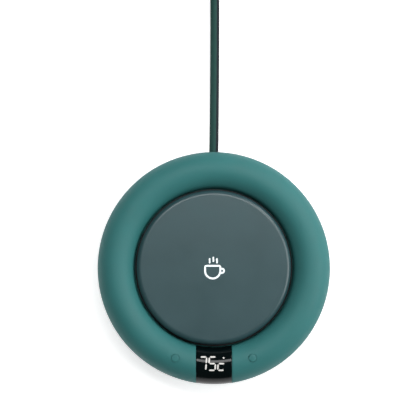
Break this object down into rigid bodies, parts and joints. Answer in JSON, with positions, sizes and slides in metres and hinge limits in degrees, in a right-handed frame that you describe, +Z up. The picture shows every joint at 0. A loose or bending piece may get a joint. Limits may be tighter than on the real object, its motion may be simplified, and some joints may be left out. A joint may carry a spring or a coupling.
{
  "type": "electric mug warmer",
  "caption": "Round electric mug warmer with a rounded rim, a recessed heating plate, a display window, push keys and a mains cord.",
  "frame": {"origin": "centre of the round housing on the table it stands on", "axes": "+Z up, +Y to the rear where the cord leaves, -Y to the front with the display, +X to the right"},
  "size_m": [0.1396, 0.3175, 0.0229],
  "materials": {
    "soft_touch_teal": "fine soft-touch matt",
    "plate_coating": "matt slate coating on aluminium",
    "window_black": "polished black acrylic",
    "silicone_black": "matt",
    "screw_steel": "zinc plated",
    "heater_film": "amber film",
    "insulation_felt": "ceramic fibre felt",
    "pressed_steel": "satin",
    "sensor_brass": "satin",
    "fuse_can": "satin",
    "board_green": "solder mask",
    "part_black": "moulded",
    "display_grey": "display face",
    "switch_cream": "moulded",
    "ferrite": "sintered",
    "capacitor_sleeve": "shrink sleeve",
    "wire_red": "silicone sleeve",
    "wire_brown": "sleeve",
    "wire_white": "sleeve",
    "ribbon_grey": "flat cable",
    "cord_green": "matt sheath",
    "tie_black": "woven strap",
    "pin_metal": "nickel plated",
    "sleeve_black": "moulded"
  },
  "bodies": {
    "housing": {"top_ring": "soft_touch_teal", "base_shell": "soft_touch_teal", "rubber_feet": "silicone_black", "base_screws": "screw_steel", "display_window": "window_black", "heating_plate": "plate_coating", "plate_gasket": "silicone_black", "plate_screws": "screw_steel", "heater_disc": "heater_film", "insulation_sheet": "insulation_felt", "heater_retainer": "pressed_steel", "retainer_screw": "screw_steel", "temperature_sensor": "sensor_brass", "thermal_fuse": "fuse_can", "fuse_clip": "pressed_steel", "control_board": "board_green", "led_display": "display_grey", "microcontroller": "part_black", "key_switch_left": "part_black", "key_switch_right": "part_black", "board_screws": "screw_steel", "power_board": "board_green", "mains_fuse": "part_black", "transformer": "ferrite", "smoothing_capacitor": "capacitor_sleeve", "triac": "part_black", "mains_leads": "wire_brown", "heater_leads": "wire_red", "sensor_leads": "wire_white", "display_ribbon": "ribbon_grey", "cord_grommet": "cord_green", "inner_cord": "cord_green", "cord_clamp": "part_black", "clamp_screws": "screw_steel", "cord_lead": "cord_green", "cord_coil": "cord_green", "cord_tail": "cord_green", "cord_tie": "tie_black", "plug_body": "cord_green", "plug_pins": "pin_metal", "plug_sleeves": "sleeve_black"},
    "left_key": {"key_left": "soft_touch_teal", "plunger_left": "switch_cream"},
    "right_key": {"key_right": "soft_touch_teal", "plunger_right": "switch_cream"}
  },
  "joints": [
    {"name": "left_key_press", "type": "slide", "parent": "housing", "child": "left_key", "axis": [0, 0, -1], "range_m": [0, 0.0003], "stiffness_N_per_m": 500, "springref_m": -0.002},
    {"name": "right_key_press", "type": "slide", "parent": "housing", "child": "right_key", "axis": [0, 0, -1], "range_m": [0, 0.0003], "stiffness_N_per_m": 500, "springref_m": -0.002}
  ]
}
